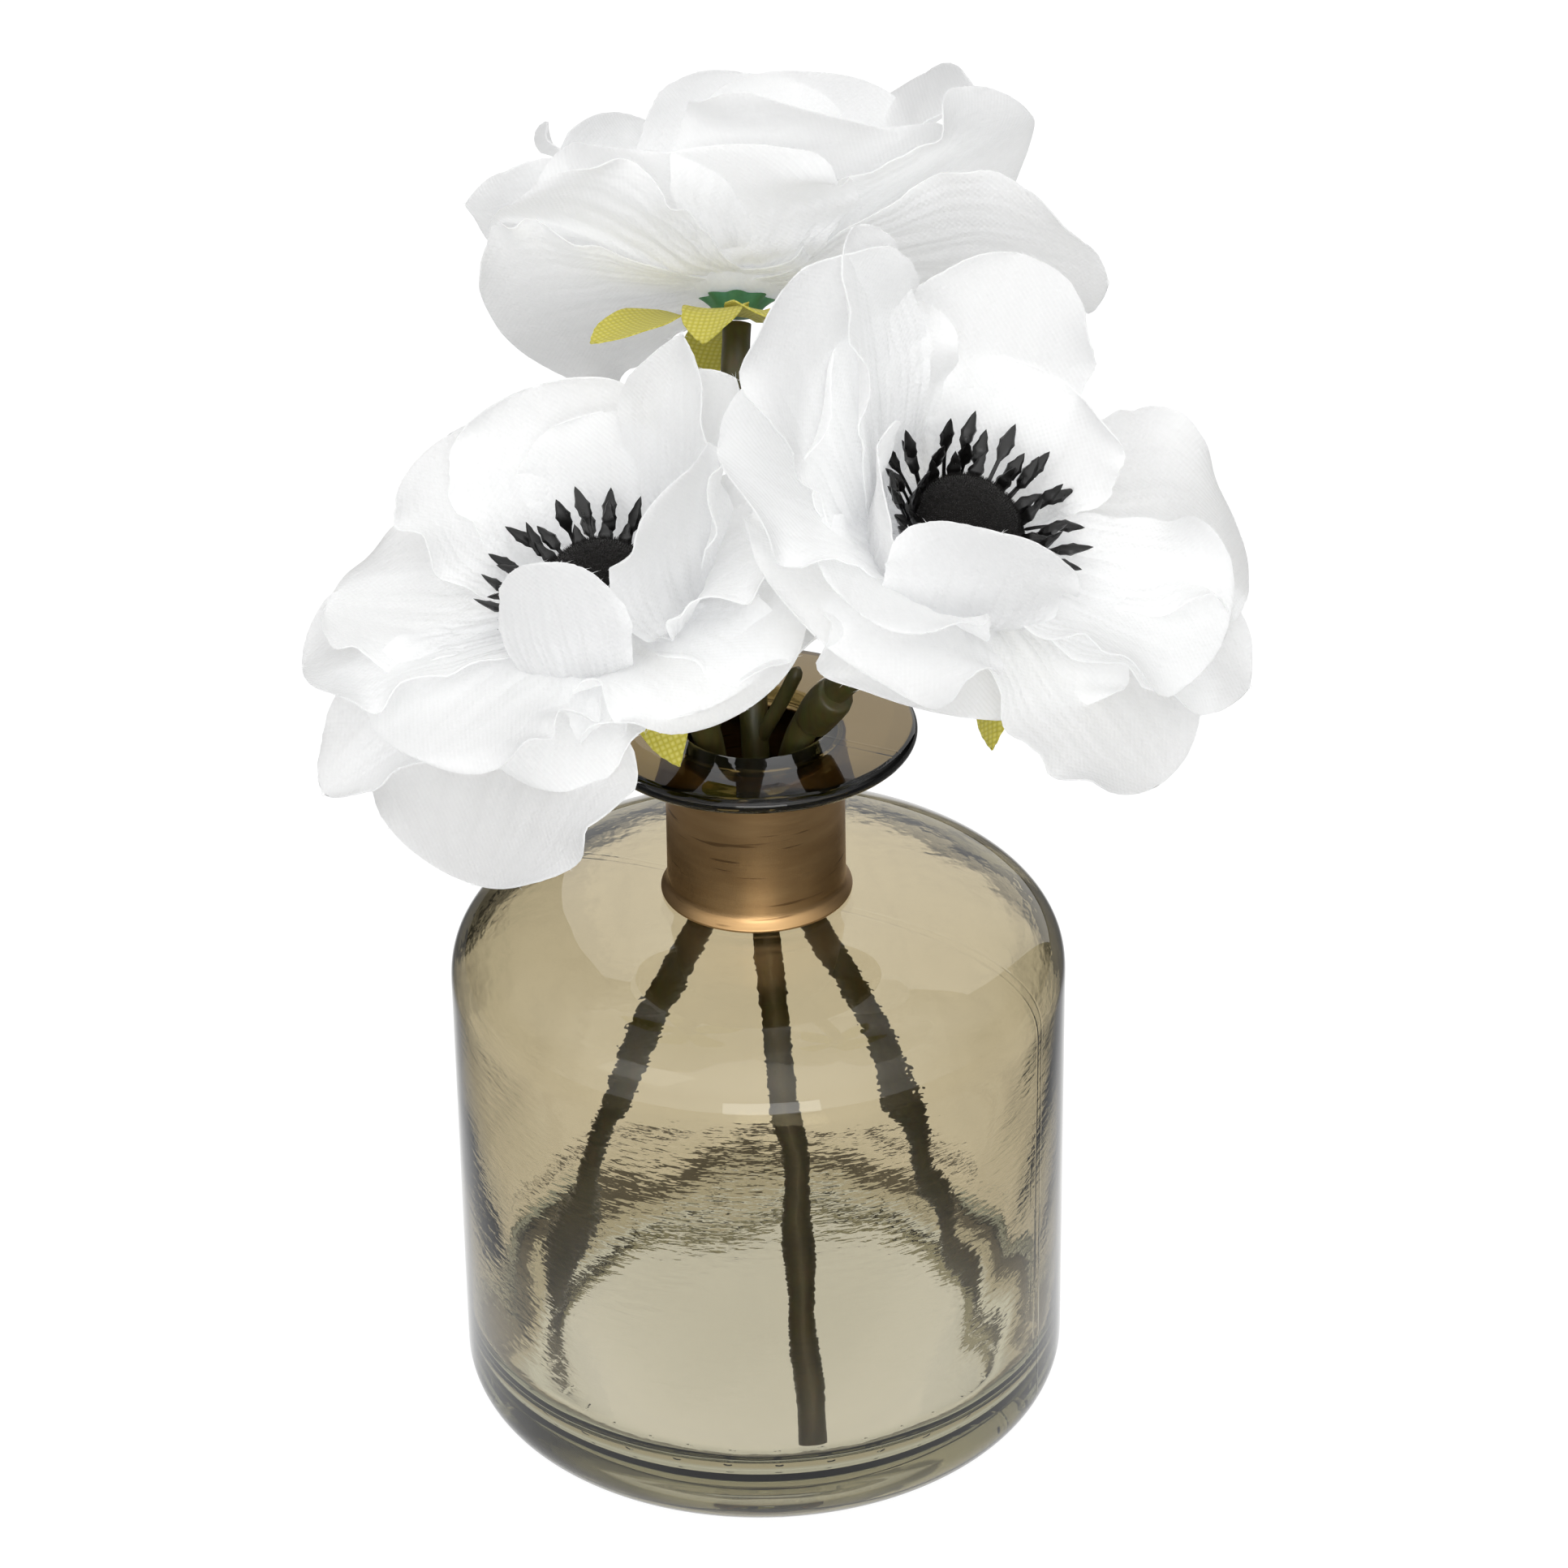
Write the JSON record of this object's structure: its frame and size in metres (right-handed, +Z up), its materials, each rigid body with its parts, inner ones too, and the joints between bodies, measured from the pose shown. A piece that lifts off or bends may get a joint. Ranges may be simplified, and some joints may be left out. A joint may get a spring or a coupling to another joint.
{
  "type": "anemone bouquet in bottle vase",
  "caption": "White fabric anemone blooms with black centres on curved plastic stems, standing in a smoked-glass bottle vase with a copper collar.",
  "frame": {"origin": "centre of the vase base, on the plane it stands on", "axes": "+Z up through the vase and its neck; -Y is the side the picture was taken from; +X is to the right in the picture"},
  "size_m": [0.152, 0.1555, 0.2352],
  "materials": {
    "smoked_glass": "smooth olive-brown smoked glass, clear, thick at the base",
    "copper": "brushed copper with fine scratches around the collar",
    "petal_fabric": "white woven polyester, moulded veins, soft matte",
    "stamen_black": "glossy black",
    "disc_flock": "matte black flock",
    "sepal_fabric": "yellow-green open-weave fabric",
    "calyx_green": "matte blue-green plastic",
    "stem_green": "satin olive-brown plastic"
  },
  "bodies": {
    "root": {"glass_bottle": "smoked_glass", "copper_collar": "copper", "petals_left": "petal_fabric", "petals_right": "petal_fabric", "petals_top": "petal_fabric", "stamens_left": "stamen_black", "stamens_right": "stamen_black", "stamens_top": "stamen_black", "disc_left": "disc_flock", "disc_right": "disc_flock", "disc_top": "disc_flock", "sepals_left": "sepal_fabric", "sepals_right": "sepal_fabric", "sepals_top": "sepal_fabric", "calyx_left": "calyx_green", "calyx_right": "calyx_green", "calyx_top": "calyx_green", "stem_left": "stem_green", "stem_right": "stem_green", "stem_top": "stem_green"}
  },
  "joints": []
}
